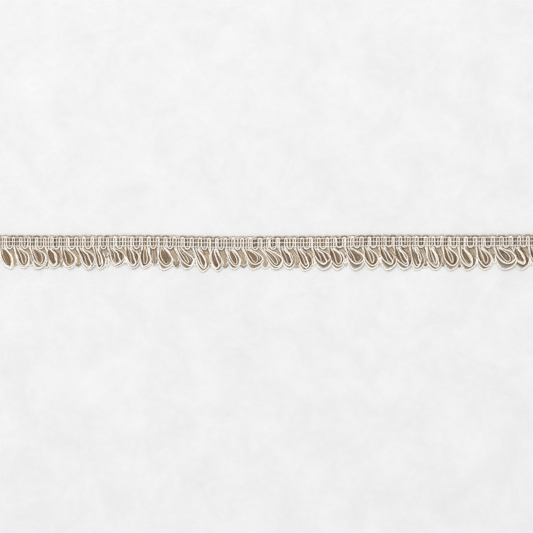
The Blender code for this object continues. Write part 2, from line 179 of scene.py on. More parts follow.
def smooth_step(low, high, value):
    """0 below low, 1 above high, and an even S between them."""
    share = np.clip((value - low) / (high - low), 0.0, 1.0)
    return share * share * (3.0 - 2.0 * share)


def mix(first, second, share):
    return first + (second - first) * share


def stray_at(strays, along):
    """The stray at places along the trim, eased from one row of a table to the next."""
    result = np.full(np.shape(along), strays[0].sideways)
    for here, after in zip(strays, strays[1:]):
        result += (after.sideways - here.sideways) * smooth_step(here.along, after.along, along)
    return result


print("the middle strays by", round(float(stray_at(SWAY, 0.0)), 2), "mm")

# %% [markdown]
# The long loops and the short turns follow each other in turn. A long loop's root is a pitch from the last
# one, and a short turn lies half way between two roots.

# %% The turns along the trim
Turn = namedtuple("Turn", "centre half loop")


def root_centres():
    """Where each long loop's root is along the trim, with the row centred on the origin."""
    places = [0.0]
    for loop in LOOPS[:-1]:
        places.append(places[-1] + loop.pitch)
    middle = (places[0] + places[-1]) / 2
    return [place - middle for place in places]


ROOTS = root_centres()
SHORTS = [ROOTS[0] - LOOPS[0].pitch / 2] + [root + loop.pitch / 2 for root, loop in zip(ROOTS, LOOPS)]
SHORT_TURNS = [Turn(centre, SHORT_HALF, None) for centre in SHORTS]
LONG_TURNS = [Turn(centre, LONG_HALF, number) for number, centre in enumerate(ROOTS)]
TURNS = sorted(SHORT_TURNS + LONG_TURNS)
ARCH_MIDDLES = [
    (here.centre + here.half + after.centre - after.half) / 2 for here, after in zip(TURNS, TURNS[1:])
]
print(len(TURNS), "turns, with roots from", round(ROOTS[0], 1), "to", round(ROOTS[-1], 1), "mm")

# %% [markdown]
# ## The yarns
# One bundle makes the whole trim: four light cords, and eleven finer yarns in brown, russet, tan, olive,
# sand and fawn. Every yarn turns at the top edge, where the white, the outer and the pale cord are on the
# inside, and at the bottom, where they are on the outside. Every second bottom turn is a short U inside
# the band, and the others are the long loops.
#
# A row of the table is one yarn: its radius, the sides of its section, the step between two points of its
# mesh and its plies, and then where it lies in the bundle. That is half the width between its own legs in
# a long loop and in a short turn, how low the short turn reaches and how high the arch, and the height of
# its legs over the back, on the left of a turn and on its right. `ring` is its place in every loop, where
# 0 is the middle line, 1 the white ring and 2 the outer cord. It is None where the loop's own fan or rim
# gives the place, and the pale cord's is for the side whose fan leaves it out. `lie` is its height over
# the table in a loop. A yarn with a `gap_share` has another way at the short turns: it hangs down there,
# in the gap between two long loops, that share of the gap's width from either side.

# %% The table of yarns
Yarn = namedtuple(
    "Yarn",
    "name radius sides step plies "
    "long_half short_half turn_low arch_high level far_level ring lie gap_share",
)
YARNS = [
    Yarn("white_cord", 0.60, 10, 0.6, 3, 2.04, 2.44, -5.45, 3.05, 1.45, 1.35, None, 0.98, None),
    Yarn("outer_cord", 0.64, 8, 0.7, 3, 3.00, 3.40, -6.00, 2.20, 0.90, 0.80, 2.00, 0.78, -0.04),
    Yarn("pale_cord", 0.43, 8, 0.7, 3, 2.60, 3.00, -6.00, 2.45, 0.75, 0.75, 1.75, 0.62, 0.06),
    Yarn("cream_cord", 0.49, 8, 0.7, 3, 0.20, 0.30, -3.40, 3.75, 0.85, 0.95, None, 0.95, None),
    Yarn("brown_yarn_1", 0.41, 6, 0.8, 2, 1.10, 1.32, -4.60, 3.35, 1.16, 1.16, None, 0.86, None),
    Yarn("brown_yarn_2", 0.41, 6, 0.8, 2, 0.52, 0.50, -3.90, 3.55, 1.10, 1.10, None, 0.82, None),
    Yarn("russet_yarn", 0.40, 6, 0.8, 2, 2.75, 3.15, -6.45, 2.60, 1.38, 1.42, None, 0.98, None),
    Yarn("tan_yarn_1", 0.44, 6, 0.8, 2, 0.95, 1.15, -4.30, 3.95, 0.90, 0.90, None, 0.76, None),
    Yarn("tan_yarn_2", 0.44, 6, 0.8, 2, 1.45, 1.70, -4.70, 3.85, 0.60, 0.66, None, 0.72, None),
    Yarn("tan_yarn_3", 0.44, 6, 0.8, 2, 1.75, 2.05, -4.90, 3.70, 0.46, 0.46, None, 0.66, None),
    Yarn("olive_yarn", 0.44, 6, 0.8, 2, 0.42, 0.48, -3.70, 4.50, 1.00, 1.00, None, 0.58, 0.46),
    Yarn("sand_yarn_1", 0.42, 6, 0.8, 2, 1.00, 1.20, -6.00, 4.20, 0.42, 0.42, None, 0.66, 0.28),
    Yarn("sand_yarn_2", 0.42, 6, 0.8, 2, 1.30, 1.50, -6.00, 4.45, 0.48, 0.48, None, 0.66, 0.37),
    Yarn("fawn_yarn_1", 0.42, 6, 0.8, 2, 1.70, 2.00, -6.00, 3.60, 0.42, 0.42, 0.12, 0.58, 0.08),
    Yarn("fawn_yarn_2", 0.42, 6, 0.8, 2, 0.40, 0.45, -6.00, 4.00, 0.42, 0.42, 0.00, 0.56, 0.17),
]
WHITE_CORD = YARNS[0]
print(len(YARNS), "yarns in the bundle")

# %% [markdown]
# ### Legs, turns and arches
# The way of a yarn is a list of points: down a leg, round a turn, up the next leg and over an arch, again
# and again. A point says how far along the trim it lies, how far across it from the middle warp, and how
# high. Arches and short turns are half ellipses between two legs, which may differ in height.

# %% Legs, turns and arches
ARCH_SPRING_DROP = 0.65  # from an arch's top down to where it springs from the legs
LEG_STOPS = (1.9, 0.6, -0.8, -1.9)  # the points of a leg, across the band
LEG_LOW = -2.6  # where a leg passes into a turn


def half_ellipse(start, goal, spring, crest, count=5):
    """Points of a half ellipse between two places along the trim, from its feet to its crest and back."""
    middle, half = (start + goal) / 2, (goal - start) / 2
    turns = np.linspace(0.0, math.pi, count)
    return [(middle - half * math.cos(turn), spring + (crest - spring) * math.sin(turn)) for turn in turns]


def turn_between(feet, levels, spring, crest):
    """The points of a turn between two legs that may differ in height."""
    flat = half_ellipse(*feet, spring, crest)
    heights = np.linspace(*levels, len(flat))
    return [(along, across, float(height)) for (along, across), height in zip(flat, heights)]


def leg(place, level, upward):
    """Points on a leg between its arch and its turn."""
    stops = reversed(LEG_STOPS) if upward else LEG_STOPS
    return [(place, across, level) for across in stops]


def arch(yarn, feet, levels):
    """The turn over the top edge between two legs."""
    return turn_between(feet, levels, yarn.arch_high - ARCH_SPRING_DROP, yarn.arch_high)


print("a leg has", len(LEG_STOPS), "points, and an arch", len(half_ellipse(0.0, 1.0, 0.0, 1.0)))

# %% [markdown]
# ### The rings of a long loop
# Three closed ways say where a loop lies: its middle line, the ring that the white cord makes, and the
# outer cord. They have a point for each guide, so every other yarn can later be placed between them.

# %% The rings of a loop
OUTER_ROOM = 0.85  # from the white ring's middle out to the outer cord's, at the loop's sides
SPINE_SHARE = 0.80  # how far down the ring the middle line reaches
SPINE_HALF = 0.15  # half the distance between its way down and its way up


def ring_of(loop, tip, drop, room):
    """A closed way round a loop, as distances right of and below its root."""
    places = {
        "left_leg": -LONG_HALF, "right_leg": LONG_HALF, "tip": tip,
        "left": loop.left - room, "right": loop.right + room, "shoulder": loop.shoulder + room,
    }
    return [
        (mix(places[guide.start], places[guide.goal], guide.share), max(guide.depth * drop, ROOT_DEPTH))
        for guide in GUIDES
    ]


def side_at_depth(side, below):
    """How far right one side of a loop lies at a depth, between its guide points."""
    return float(np.interp(below, [point[1] for point in side], [point[0] for point in side]))


def loop_rings(loop):
    """A loop's middle line, its white ring and its outer cord, point for point."""
    ring = ring_of(loop, loop.ring_tip, loop.ring_drop, 0.0)
    outer = ring_of(loop, loop.tip, loop.drop, OUTER_ROOM)
    spine = []
    for guide in GUIDES:
        below = max(SPINE_SHARE * loop.ring_drop * guide.spine, ROOT_DEPTH)
        middle = (side_at_depth(ring[LEFT_HALF], below) + side_at_depth(ring[RIGHT_HALF], below)) / 2
        spine.append((middle + (guide.turned - 1.0) * SPINE_HALF, below))
    return spine, ring, outer


white_ring = loop_rings(LOOPS[0])[1]
print("the first loop's white ring reaches", max(below for right, below in white_ring), "mm below the band")

# %% [markdown]
# ### Which yarn lies where in a loop
# The photo shows another order of colours in nearly every loop, and that is what makes a loop look like a
# fan of single yarns. The letters of a side share the way from the middle line out to the white ring in
# even steps. Yarns that a side leaves out fill in under it, a little lower, so that the table doesn't show
# between the others. The rim is the space between the ring and the outer cord: a russet and an olive yarn
# and the pale cord fill it evenly, and a wide rim takes a sand yarn too. On the right side of a loop the
# yarns of no fan lie lower, and those outside the ring closer to it, so that the white cord shows whole.

# %% The fan and the rim
FAN_YARNS = {
    "w": ["white_cord"],
    "p": ["pale_cord"],
    "c": ["cream_cord"],
    "b": ["brown_yarn_1", "brown_yarn_2"],
    "t": ["tan_yarn_1", "tan_yarn_2", "tan_yarn_3"],
    "s": ["sand_yarn_1", "sand_yarn_2"],
}
UNDER_FAN = "tscb"  # the yarns that fill in under a side, from the ring inwards
UNDER_SINK = 0.28  # how much lower they lie there
RIM_YARNS = ("russet_yarn", "olive_yarn", "pale_cord")
WIDE_RIM_YARNS = ("russet_yarn", "olive_yarn", "sand_yarn_1", "pale_cord")
WIDE_RIM = 2.8  # the width, below the white ring, from which a rim takes more yarns
RIGHT_SQUEEZE = 0.7  # how much of its room a yarn outside the ring keeps on a loop's right side
ROLLED_SQUEEZE = 0.9  # the same in a loop that has rolled over
RIGHT_SINK = 0.3  # how much lower the yarns in no fan lie on the right side


def fan_names(letters):
    """The yarns of one side of a fan, in the order of its letters."""
    names = []
    for letter in letters:
        names.append(next(name for name in FAN_YARNS[letter] if name not in names))
    return names


def rim_names(loop):
    """The yarns between a loop's white ring and its outer cord, from the ring out."""
    in_fan = [name for letters in loop.fan.split() for name in fan_names(letters)]
    names = WIDE_RIM_YARNS if loop.drop - loop.ring_drop > WIDE_RIM else RIM_YARNS
    return [name for name in names if name not in in_fan]


def fan_places(loop):
    """The ring and the sink of the fan's yarns on a loop's left and right, from the middle line out."""
    places = []
    left_letters, right_letters = loop.fan.split()
    for letters in (left_letters[::-1], right_letters):
        names = fan_names(letters)
        side = {name: ((place + 1) / len(names), 0.0) for place, name in enumerate(names)}
        taken = names + rim_names(loop)
        others = [name for letter in UNDER_FAN for name in FAN_YARNS[letter] if name not in taken]
        for place, name in enumerate(others):
            side[name] = (1.0 - (place + 0.5) / len(names), UNDER_SINK)
        places.append(side)
    return places


def loop_shares(yarn, loop):
    """A yarn's ring on the left side, at the bottom and on the right side of a loop, and its sink there."""
    places = fan_places(loop)
    if not any(yarn.name in side for side in places):
        rim = rim_names(loop)
        ring = 1.0 + (rim.index(yarn.name) + 1) / (len(rim) + 1) if yarn.name in rim else yarn.ring
        squeeze = RIGHT_SQUEEZE if loop.fan.endswith("w") else ROLLED_SQUEEZE
        right = 1.0 + (ring - 1.0) * squeeze if ring > 1.0 else ring
        return (ring, ring, right), (0.0, 0.0, RIGHT_SINK)
    (left, left_sink), (right, right_sink) = (side.get(yarn.name, (yarn.ring, 0.0)) for side in places)
    low = 1.0 if yarn is WHITE_CORD else (left + right) / 2
    return (left, low, right), (left_sink, (left_sink + right_sink) / 2, right_sink)


print("the first loop's rim holds", rim_names(LOOPS[0]))

# %% [markdown]
# ### A long loop
# A yarn's points in a loop lie between those of the three rings, as its place in the fan says. Where the
# right side of a loop laps the next one, it rises and lies on it, because flat loops would cut through
# each other. Where the bundle has rolled over, the light cords rise further and cross the other yarns.

# %% The points of a long loop
LAP_LIFT = 1.45  # how far a loop's right side rises to lie on the next loop
FREE_LIFT = 0.4  # how far it rises where it laps nothing
CORD_RISE = 0.9  # how far the light cords rise further in a rolled loop
RISE_BELOW = 0.7  # the ring inside which they do
CROSSING_CORDS = ("white_cord", "pale_cord", "cream_cord")
ROOT_SPREAD = 0.5  # how far outside the white legs a yarn may enter or leave a loop


def lift_of(number):
    """How far a loop's right side rises: over the next loop where it laps it, otherwise a little."""
    if number + 1 >= len(LOOPS):
        return FREE_LIFT
    loop, following = LOOPS[number], LOOPS[number + 1]
    cord = WHITE_CORD.radius
    laps = loop.right + cord > loop.pitch + following.left - cord
    near_root = loop.shoulder > loop.pitch - LONG_HALF - 2 * cord
    return LAP_LIFT if laps or near_root else FREE_LIFT


def long_loop(yarn, number, shift):
    """The points of one yarn round a long loop, below the band, with its rings shifted a little."""
    loop, root, lift = LOOPS[number], ROOTS[number], lift_of(number)
    shares, sinks = loop_shares(yarn, loop)
    on_top = not loop.fan.endswith("w") and yarn.name in CROSSING_CORDS and shares[2] < RISE_BELOW
    rise = CORD_RISE if on_top else 0.0
    points = []
    for inner, ring, outer, guide in zip(*loop_rings(loop), GUIDES):
        share = max(float(np.interp(guide.turned, (0.0, 1.0, 2.0), shares)) + shift, 0.0)
        sink = float(np.interp(guide.turned, (0.0, 1.0, 2.0), sinks))
        height = yarn.lie - sink + lift * guide.risen + rise * guide.raised
        start, goal, rest = (inner, ring, share) if share <= 1.0 else (ring, outer, share - 1.0)
        right, below = (mix(s, g, rest) for s, g in zip(start, goal))
        points.append((root + right, BAND_EDGE - below, height))
    root_half = min(yarn.long_half, LONG_HALF + ROOT_SPREAD)
    for end, side in ((0, -1), (-1, 1)):
        points[end] = (root + side * root_half, BAND_EDGE - ROOT_DEPTH, yarn.lie)
    return points


print(sum(lift_of(number) == LAP_LIFT for number in range(len(LOOPS))), "loops lap the next one")

# %% [markdown]
# ### Short turns and what hangs in the gaps
# At a short turn most yarns make a small U within the band, a little lower towards the left end of the
# trim. The others hang down in the gap between two long loops and fill it, as in the photo, where hardly
# any floor shows there. The rows below say how deep a point of such a hanging yarn lies, how wide the
# yarns spread there at most, and how far they reach under the loops beside them. In a gap that looks
# pale, the outer and the pale cord hang nearer its middle, and the others reach only half as far down.

# %% Short turns
TURN_SAG = [Stray(-223.0, -0.5), Stray(0.0, -0.4), Stray(60.0, 0.3), Stray(223.0, 0.3)]
TURN_STRAY = 0.3  # how much further up or down than its row says a short turn may reach
TURN_SEED = 3
TURN_STRAYS = np.random.default_rng(TURN_SEED).uniform(-TURN_STRAY, TURN_STRAY, len(SHORTS))
GAP_LEAST_WIDTH = 1.0  # the yarns spread this wide even where the loops beside a gap meet
PALE_GAP_SHARES = {"outer_cord": 0.22, "pale_cord": 0.40}  # the two cords' places in a pale gap
PALE_GAP_REACH = 0.5  # how far the other yarns reach down there, as a share of their reach in a tan gap
GAP_CORD_LIE = 0.58  # the height of the two cords over the table in a gap
GAP_RISE = 0.42  # how much higher than in a loop the other yarns lie there
GAP_TIP_DROP = 1.4  # from the last points of a hanging yarn down to its tip
GAP_TIP_RISE = 2.0  # how much less that is for a yarn further inside, times its share
GAP_ENTRY = 1.4  # from a leg's end down to where a hanging yarn's way starts

Hang = namedtuple("Hang", "depth widest under")
GAP_HANGS = [
    Hang(1.4, 5.6, -0.5),
    Hang(3.6, 5.4, -0.5),
    Hang(6.0, 5.6, -0.2),
    Hang(8.6, 6.2, 0.2),
    Hang(11.2, 6.6, 0.6),
    Hang(13.6, 6.0, 0.8),
    Hang(15.2, 4.2, 0.6),
]


def gap_loop(yarn, number, reach, rise):
    """The points of one yarn that hangs in the gap on the right of a long loop, or None without a gap."""
    if yarn.gap_share is None or not 0 <= number < len(LOOPS) - 1:
        return None
    loop, following = LOOPS[number], LOOPS[number + 1]
    right_side = loop_rings(loop)[1][RIGHT_SIDE]
    left_side = loop_rings(following)[1][LEFT_SIDE]
    share, height = yarn.gap_share, yarn.lie + GAP_RISE + rise
    if yarn.name in PALE_GAP_SHARES:
        height = GAP_CORD_LIE + rise / 2
        share = PALE_GAP_SHARES[yarn.name] if loop.gap == "pale" else share
    elif loop.gap == "pale":
        reach *= PALE_GAP_REACH
    down, up = [], []
    for hang in GAP_HANGS:
        below = hang.depth * reach
        low = side_at_depth(right_side, below) - hang.under
        high = side_at_depth(left_side, below) + loop.pitch + hang.under
        middle, width = (low + high) / 2, min(max(high - low, GAP_LEAST_WIDTH), hang.widest)
        low, high = middle - width / 2, middle + width / 2
        across = BAND_EDGE - below
        down.append((ROOTS[number] + mix(low, high, share), across, height))
        up.append((ROOTS[number] + mix(low, high, 1.0 - share), across, height))
    tip_across = down[-1][1] - GAP_TIP_DROP + GAP_TIP_RISE * share
    tip = ((down[-1][0] + up[-1][0]) / 2, tip_across, height)
    return down + [tip] + up[::-1]


def short_turn(yarn, number, feet, levels, reach, rise):
    """The bottom of a short turn: a U within the band, or a hanging loop in the gap."""
    hanging = gap_loop(yarn, number - 1, reach, rise)
    if hanging:
        entry = LEG_LOW - GAP_ENTRY
        ends = [(foot, entry, (level + hanging[0][2]) / 2) for foot, level in zip(feet, levels)]
        return ends[:1] + hanging + ends[1:]
    low = yarn.turn_low + float(stray_at(TURN_SAG, (feet[0] + feet[1]) / 2)) + TURN_STRAYS[number]
    return turn_between(feet, levels, LEG_LOW, low)


print(sum(yarn.gap_share is not None for yarn in YARNS), "yarns hang in the gaps")

# %% [markdown]
# ### The whole way of a yarn
# The whole way is a chain of those pieces, from one cut end to the other. No leg lies quite where the
# table says: each gets a small random stray, sideways and in height. The white cord strays less, because
# its even rows of legs are what the eye follows along the band.

# %% The whole way of a yarn
ARCH_ROOM = 0.36  # the least distance from a leg to the middle of its arch
LEG_SHIFT = 0.10  # how far a yarn strays from its place in the bundle, from leg to leg
LEVEL_SHIFT = 0.20  # how far its legs stray in height
RING_SHIFT = 0.03  # how far it strays in a long loop, in rings
GAP_REACH_SHIFT = (-0.26, 0.00)  # the range of what is added to the depth of what hangs in a gap
GAP_RISE_SHIFT = 0.12  # how far its yarns change places in height there
CORD_STEADINESS = 0.4  # the share of those strays that the white cord makes
CUT_ARCH = 1.0  # how far past a cut end the arch that is cut there would reach


def whole_way(yarn, generator):
    """Every point of one yarn, from the left cut end to the right one."""
    steadiness = CORD_STEADINESS if yarn is WHITE_CORD else 1.0
    lows = [-LENGTH / 2] + [middle + ARCH_ROOM for middle in ARCH_MIDDLES]
    highs = [middle - ARCH_ROOM for middle in ARCH_MIDDLES] + [LENGTH / 2]
    points = []
    last_foot, last_level = -LENGTH / 2 - CUT_ARCH, yarn.level
    for turn, low, high in zip(TURNS, lows, highs):
        half = yarn.short_half if turn.loop is None else yarn.long_half
        strays = generator.normal(0.0, 1.0, 4) * steadiness
        left = max(turn.centre - half + LEG_SHIFT * strays[0], low)
        right = min(turn.centre + half + LEG_SHIFT * strays[1], high)
        levels = (yarn.level + LEVEL_SHIFT * strays[2], yarn.far_level + LEVEL_SHIFT * strays[3])
        over = arch(yarn, (last_foot, left), (last_level, levels[0]))
        points += over[len(over) // 2:] if last_foot < -LENGTH / 2 else over
        if turn.loop is None:
            reach = 1.0 + generator.uniform(*GAP_REACH_SHIFT)
            rise = GAP_RISE_SHIFT * strays[2]
            bottom = short_turn(yarn, SHORTS.index(turn.centre), (left, right), levels, reach, rise)
        else:
            bottom = long_loop(yarn, turn.loop, RING_SHIFT * strays[3])
        points += leg(left, levels[0], upward=False) + bottom + leg(right, levels[1], upward=True)
        last_foot, last_level = right, levels[1]
    over = arch(yarn, (last_foot, LENGTH / 2 + CUT_ARCH), (last_level, last_level))
    return np.array(points + over[:len(over) // 2 + 1])


TRIAL_SEED = 1
white_way = whole_way(WHITE_CORD, np.random.default_rng(TRIAL_SEED))
print("the white cord's way has", len(white_way), "points")

# %% [markdown]
# A smooth curve through all of those points is measured and cut into even steps, so that the twist of the
# yarn stays even too. The curve is the centripetal kind, which neither loops nor swings out where a long
# step follows a short one.

# %% A smooth line through the points
FINE_STEPS = 12  # the straight bits between two points in which the curve is measured
SHORTEST_STEP = 1e-6  # keeps two points in one place from a division by nothing


def smooth_line(points, step):
    """Even steps along the centripetal curve through the points, and the curve's length."""
    gaps = np.sqrt(np.maximum(np.linalg.norm(np.diff(points, axis=0), axis=1), SHORTEST_STEP))
    slopes = np.diff(points, axis=0) / gaps[:, None]
    tangents = np.vstack([
        slopes[:1],
        (slopes[:-1] * gaps[1:, None] + slopes[1:] * gaps[:-1, None]) / (gaps[:-1] + gaps[1:])[:, None],
        slopes[-1:],
    ])
    t = np.linspace(0.0, 1.0, FINE_STEPS + 1)[:-1, None]
    pieces = []
    for number, gap in enumerate(gaps):
        start, end = points[number], points[number + 1]
        pieces.append(
            start * (1 + 2 * t) * (1 - t) ** 2
            + tangents[number] * gap * t * (1 - t) ** 2
            + end * t * t * (3 - 2 * t)
            - tangents[number + 1] * gap * t * t * (1 - t)
        )
    line = np.vstack(pieces + [points[-1:]])
    lengths = np.concatenate([[0.0], np.cumsum(np.linalg.norm(np.diff(line, axis=0), axis=1))])
    places = np.linspace(0.0, lengths[-1], int(lengths[-1] / step) + 1)
    return np.column_stack([np.interp(places, lengths, line[:, axis]) for axis in range(3)]), lengths[-1]


white_line, white_length = smooth_line(white_way, WHITE_CORD.step)
print("it is", round(white_length / 1000, 2), "m long, in", len(white_line), "points")

# %% [markdown]
# No yarn lies like a drawn line. A slow random wander is added, small in the band, where the warps hold
# the yarns, and larger in the loops, where nothing does. It is kept above the table by the yarn's radius.

# %% Unevenness
WANDER_STEP = 5.0  # millimetres between two changes of direction
WANDER_SPREAD = 0.5  # how far the changes reach before they are scaled to the band or the loops
KNOTS_AFTER = 3.001  # the path ends just short of the knot with two more after it
BAND_WANDER = 0.05
LOOP_WANDER = 0.20
HELD_ABOVE = -4.0  # the place across the trim above which the warps hold the yarns
FREE_BELOW = -8.0  # and the one below which nothing does
HEIGHT_WANDER = 0.6  # the share of the wander that goes up and down
FLOOR_ROOM = 1.12  # the least height of a yarn's middle over the table, in radii, for its plies


def wander(count, length, generator):
    """A smooth random path about zero, with three coordinates for each of count places."""
    knots = generator.normal(0.0, WANDER_SPREAD, (int(length / WANDER_STEP) + 4, 3))
    places = np.linspace(1.0, len(knots) - KNOTS_AFTER, count)
    index = places.astype(int)
    t = (places - index)[:, None]
    before, here, after, beyond = (knots[index + shift] for shift in (-1, 0, 1, 2))
    return 0.5 * (2 * here + (after - before) * t + (2 * before - 5 * here + 4 * after - beyond) * t ** 2
                  + (3 * here - before - 3 * after + beyond) * t ** 3)


def uneven(line, length, radius, generator):
    """The line with its wander and the trim's stray added, in the frame of the trim."""
    amount = mix(LOOP_WANDER, BAND_WANDER, smooth_step(FREE_BELOW, HELD_ABOVE, line[:, 1]))
    path = wander(len(line), length, generator)
    moved = line + path * amount[:, None] * np.array([1.0, 1.0, HEIGHT_WANDER])
    moved[:, 0] = np.clip(moved[:, 0], -LENGTH / 2, LENGTH / 2)
    moved[:, 1] += HEADING_LINE + stray_at(SWAY, moved[:, 0])
    moved[:, 2] = np.maximum(moved[:, 2], radius * FLOOR_ROOM)
    return moved


print("wander:", BAND_WANDER, "mm in the band,", LOOP_WANDER, "mm in the loops")

# %% [markdown]
# ### From a line to a yarn
# A plied yarn is two or three strands twisted round each other, and its section is a rosette that turns as
# it goes along. Strands could be modelled one by one, but that takes three times the faces. Blender does
# it with one curve: the rosette is the bevel object, and the tilt of each point turns it. The curve is
# then converted to a mesh, whose own UV map runs along the yarn and round it, which is what the material
# of a yarn needs.

# %% Yarn builder
PLY_DEPTH = 0.18  # how deep the grooves between the plies are, as a share of the radius
PLY_MIDDLE = 0.4  # where the yarn's radius lies between a groove, at -1, and a ply's crest, at 1
MERGE_DISTANCE = 0.000001  # in metres


def ply_section(radius, plies, sides):
    """A closed rosette as a curve, for use as a bevel."""
    bpy.ops.object.select_all(action="DESELECT")
    data = bpy.data.curves.new("section", "CURVE")
    spline = data.splines.new("POLY")
    spline.points.add(sides - 1)
    for number, point in enumerate(spline.points):
        turn = 2 * math.pi * number / sides
        reach = radius * MM * (1.0 + PLY_DEPTH * (math.cos(plies * turn) - PLY_MIDDLE))
        point.co = (reach * math.cos(turn), reach * math.sin(turn), 0.0, 1.0)
    spline.use_cyclic_u = True
    section = bpy.data.objects.new("section", data)
    bpy.context.scene.collection.objects.link(section)
    return section


def yarn_curve(name, lines, section, twist):
    """A curve along the lines, in millimetres, whose section makes one full turn every twist."""
    data = bpy.data.curves.new(name, "CURVE")
    data.dimensions = "3D"
    data.twist_mode = "MINIMUM"
    data.bevel_mode = "OBJECT"
    data.bevel_object = section
    data.use_fill_caps = True
    for line in lines:
        spline = data.splines.new("POLY")
        spline.points.add(len(line) - 1)
        spline.points.foreach_set("co", np.column_stack([line * MM, np.ones(len(line))]).ravel())
        run = np.concatenate([[0.0], np.cumsum(np.linalg.norm(np.diff(line, axis=0), axis=1))])
        spline.points.foreach_set("tilt", 2 * math.pi * run / twist)
        spline.points.foreach_set("radius", np.ones(len(line)))
    curve = bpy.data.objects.new(name, data)
    bpy.context.scene.collection.objects.link(curve)
    return curve


def make_yarn(name, lines, radius, plies, sides, twist):
    """A closed mesh of plied yarn along each of the lines."""
    section = ply_section(radius, plies, sides)
    curve = yarn_curve(name, lines, section, twist)
    bpy.ops.object.select_all(action="DESELECT")
    curve.select_set(True)
    bpy.context.view_layer.objects.active = curve
    bpy.ops.object.convert(target="MESH")
    bpy.ops.object.mode_set(mode="EDIT")
    bpy.ops.mesh.select_all(action="SELECT")
    bpy.ops.mesh.remove_doubles(threshold=MERGE_DISTANCE)
    bpy.ops.mesh.normals_make_consistent(inside=False)
    bpy.ops.object.mode_set(mode="OBJECT")
    bpy.ops.object.shade_smooth()
    piece = bpy.context.active_object
    bpy.data.objects.remove(section)
    triangles = sum(len(face.vertices) - 2 for face in piece.data.polygons)
    print(name, "has", triangles, "triangles, uv:", [layer.name for layer in piece.data.uv_layers])
    return piece


# %% [markdown]
# All the yarns of the bundle are now one loop over the table.

# %% The bundle
TWIST_SHARE = 6.5  # the length of one full turn of the plies, in radii
BUNDLE_SEED = 7

generator = np.random.default_rng(BUNDLE_SEED)
yarns = {}
for yarn in YARNS:
    line, length = smooth_line(whole_way(yarn, generator), yarn.step)
    line = uneven(line, length, yarn.radius, generator)
    twist = TWIST_SHARE * yarn.radius
    yarns[yarn.name] = make_yarn(yarn.name, [line], yarn.radius, yarn.plies, yarn.sides, twist)
    print(yarn.name, "is", round(length / 1000, 2), "m long")

# %% [markdown]
# ## The warp threads
# Three rows of fine thread run the length of the band and hold the bundle. Each row is a pair that twines:
# one thread passes over a leg of the bundle while its partner passes under it, and between two legs they
# change places. A sine gives that swing, stretched so that each change falls between two legs.

# %% Warp threads
WARP_RADIUS = 0.27
WARP_PLIES = 2
WARP_SIDES = 6
WARP_TWIST = 2.4  # the length of one full turn of its plies
WARP_ROWS = (2.6, -0.45, -3.95)
WARP_MIDDLE = 1.80  # the height at which the two threads of a pair change places
WARP_UP = 0.58  # from there up over a leg
WARP_DOWN = 1.40  # and down under it
WARP_SPREAD = 0.22  # how far the two threads pass beside each other there
WARP_STEP = 0.5


def change_places():
    """The places along the trim where two threads change: in every turn and under every arch."""
    places = [-LENGTH / 2]
    for turn, middle in zip(TURNS, ARCH_MIDDLES):
        places += [turn.centre, middle]
    return places + [TURNS[-1].centre, LENGTH / 2]


def warp_line(across, first):
    """One thread of a twining pair; first is 1 or -1 for the two partners."""
    changes = change_places()
    along = np.arange(-LENGTH / 2, LENGTH / 2 + WARP_STEP / 2, WARP_STEP)
    turn = np.interp(along, changes, np.arange(len(changes)) * math.pi)
    swing = first * np.sin(turn)
    height = WARP_MIDDLE + swing * (WARP_UP + WARP_DOWN) / 2 + swing ** 2 * (WARP_UP - WARP_DOWN) / 2
    side = across + first * WARP_SPREAD * np.cos(turn)
    line = np.column_stack([along, side, height])
    line[:, 1] += HEADING_LINE + stray_at(SWAY, along)
    line[:, 2] = np.maximum(line[:, 2], WARP_RADIUS)
    return line


warp_lines = [warp_line(across, first) for across in WARP_ROWS for first in (1, -1)]
warps = make_yarn("warp_threads", warp_lines, WARP_RADIUS, WARP_PLIES, WARP_SIDES, WARP_TWIST)

# %% [markdown]
# ## The finishes
# A material is a small tree of nodes, and both the yarns and the table need the same few: a matt shader,
# sums, a noise, and a colour between two others. Helpers for these come first.

# %% Node helpers
def matt_material(name, roughness, specular):
    """A new material, with its node tree and its shader."""
    material = bpy.data.materials.new(name)
    material.use_nodes = True
    shader = material.node_tree.nodes["Principled BSDF"]
    shader.inputs["Roughness"].default_value = roughness
    shader.inputs["Specular IOR Level"].default_value = specular
    return material, material.node_tree, shader


def add_node(tree, kind, **settings):
    """A new node with its settings."""
    node = tree.nodes.new(kind)
    for key, value in settings.items():
        setattr(node, key, value)
    return node


def math_node(tree, operation, *values):
    """The result of a maths node whose inputs are sockets or numbers."""
    node = add_node(tree, "ShaderNodeMath", operation=operation)
    for socket, value in zip(node.inputs, values):
        if isinstance(value, bpy.types.NodeSocket):
            tree.links.new(value, socket)
        else:
            socket.default_value = value
    return node.outputs[0]


def noise_node(tree, place, scale, detail):
    """A noise texture over a socket that gives the place."""
    node = add_node(tree, "ShaderNodeTexNoise")
    node.inputs["Scale"].default_value = scale
    node.inputs["Detail"].default_value = detail
    tree.links.new(place, node.inputs["Vector"])
    return node


def colour_between(tree, shade, low, high, dark, light):
    """A colour that runs from dark to light while the shade goes from low to high."""
    ramp = add_node(tree, "ShaderNodeValToRGB")
    for element, position, colour in zip(ramp.color_ramp.elements, (low, high), (dark, light)):
        element.position = position
        element.color = (*colour, 1.0)
    tree.links.new(shade, ramp.inputs["Fac"])
    return ramp.outputs["Color"]


print("helpers for nodes are ready")
